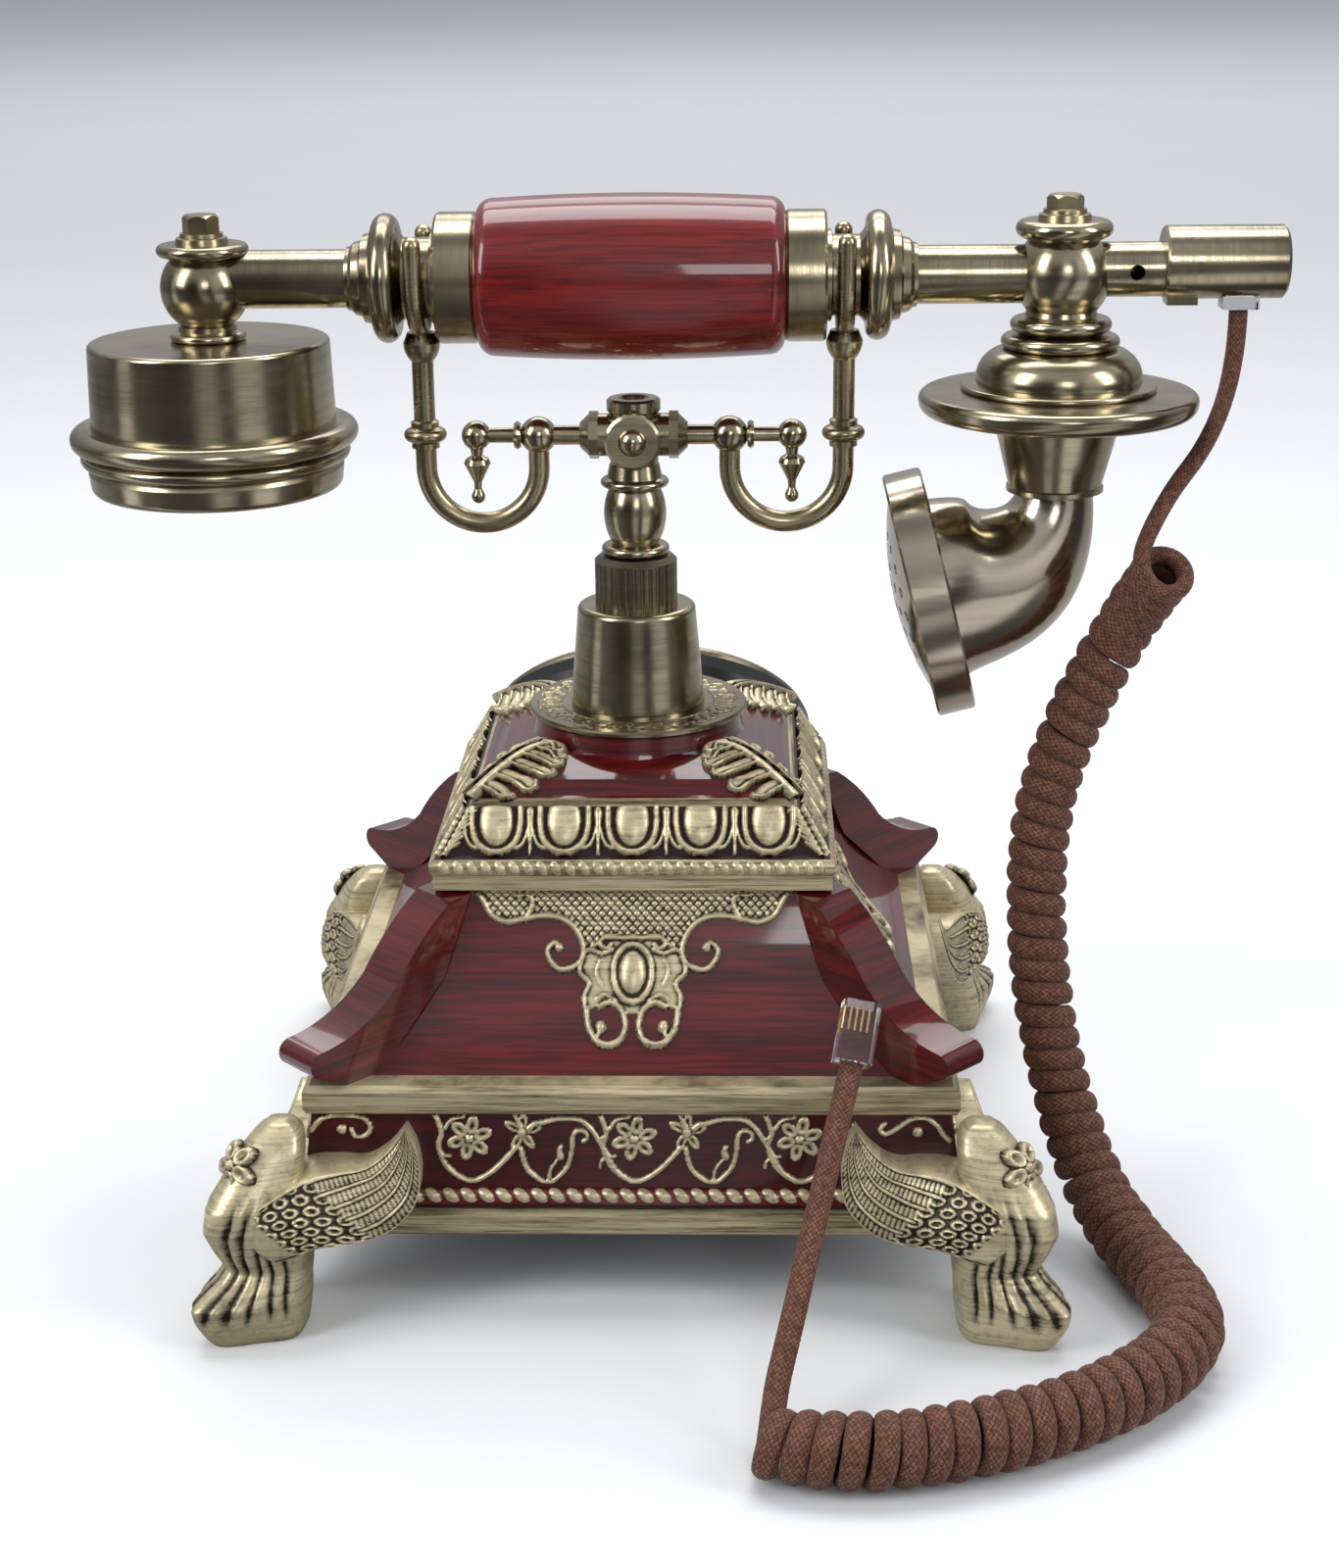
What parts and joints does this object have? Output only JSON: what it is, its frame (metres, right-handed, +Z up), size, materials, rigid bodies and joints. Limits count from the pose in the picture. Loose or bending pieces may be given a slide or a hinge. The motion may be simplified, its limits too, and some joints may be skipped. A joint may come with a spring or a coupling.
{
  "type": "cradle telephone",
  "caption": "French-style cradle telephone with a pagoda-shaped base on paw feet, rotary dial, sprung pillar cradle, spindle handset and curly braided cord.",
  "frame": {"origin": "on the table, in the middle of the four feet, under the pillar", "axes": "+Z up, +Y towards the dial, +X towards the mouthpiece end of the handset"},
  "size_m": [0.2583, 0.2416, 0.2233],
  "materials": {
    "red_lacquer": "high gloss lacquer over cast resin with a wood grain",
    "gilded_resin": "antique gilding rubbed over dark recesses",
    "antique_brass": "brushed antique bronze plating under lacquer",
    "bell_brass": "polished",
    "grip_wood": "red lacquered wood, high gloss",
    "steel": "zinc plated",
    "black_steel": "black satin paint",
    "black_plastic": "gloss",
    "number_plate": "ivory enamel",
    "board": "solder mask",
    "coil_winding": "varnished copper wire",
    "clear_plastic": "clear",
    "felt": "felt",
    "braided_cord": "braided cotton sleeve"
  },
  "bodies": {
    "base": {"base_casting": "red_lacquer", "base_plate": "black_steel", "machine_screws": "steel", "rear_feet": "gilded_resin", "front_feet": "gilded_resin", "foot_pads": "felt", "circuit_board": "board", "hook_switch": "black_plastic", "handset_jack": "black_plastic", "line_jack": "black_plastic", "ringer_frame": "steel", "ringer_coil": "coil_winding", "bell_gongs": "bell_brass", "top_plate": "antique_brass", "post_bush": "bell_brass", "pillar_nut": "steel", "pillar_cone": "antique_brass", "knurled_collar": "antique_brass", "dial_case": "black_plastic", "dial_bezel": "antique_brass", "dial_number_plate": "number_plate", "dial_mechanism": "steel", "finger_stop": "steel", "cord_lead_upper": "braided_cord", "cord_coil": "braided_cord", "cord_lead_lower": "braided_cord", "cord_plug_far": "clear_plastic"},
    "cradle": {"cradle_post": "steel", "cradle_baluster": "antique_brass", "cross_head": "antique_brass", "arm_nuts": "antique_brass", "cradle_arms": "antique_brass", "hook_left": "antique_brass", "hook_right": "antique_brass", "cradle_spring": "steel"},
    "handset": {"handset_grip": "grip_wood", "grip_ferrules": "antique_brass", "tie_tube": "steel", "handset_necks": "antique_brass", "handset_tubes": "antique_brass", "receiver_post": "antique_brass", "receiver_case": "antique_brass", "receiver_ring": "antique_brass", "receiver_cap": "antique_brass", "receiver_capsule": "black_plastic", "post_bolts": "antique_brass", "transmitter_post": "antique_brass", "transmitter_flange": "antique_brass", "transmitter_cone": "antique_brass", "transmitter_elbow": "antique_brass", "mouthpiece_cup": "antique_brass", "mouthpiece_grille": "antique_brass", "microphone_capsule": "black_plastic", "socket_tube": "antique_brass", "cord_socket": "antique_brass", "cord_plug_handset": "clear_plastic"},
    "dial": {"finger_wheel": "antique_brass", "dial_spindle": "antique_brass"},
    "bell_hammer": {"bell_hammer": "steel"},
    "ringer_switch": {"ringer_switch_knob": "black_plastic"}
  },
  "joints": [
    {"name": "handset_lift", "type": "slide", "parent": "base", "child": "handset", "axis": [0, 0, 1], "range_m": [0, 0.12]},
    {"name": "cradle_rise", "type": "slide", "parent": "base", "child": "cradle", "axis": [0, 0, 1], "range_m": [0, 0.005], "stiffness_N_per_m": 400, "springref_m": 0.012, "deforming": ["cradle_spring"]},
    {"name": "dial_turn", "type": "hinge", "parent": "base", "child": "dial", "pos_m": [0, 0.0703, 0.0837], "axis": [0, -0.7071, -0.7071], "range_deg": [0, 326], "stiffness_Nm_per_rad": 0.02, "springref_deg": -17.19},
    {"name": "hammer_swing", "type": "hinge", "parent": "base", "child": "bell_hammer", "pos_m": [0, -0.012, 0.046], "axis": [0, 0, 1], "range_deg": [-6, 6], "stiffness_Nm_per_rad": 0.01},
    {"name": "ringer_switch_slide", "type": "slide", "parent": "base", "child": "ringer_switch", "axis": [0, 1, 0], "range_m": [0, 0.003]}
  ],
  "couplings": [
    {"joint": "cradle_rise", "follows": "handset_lift", "ratio": 0.04}
  ]
}
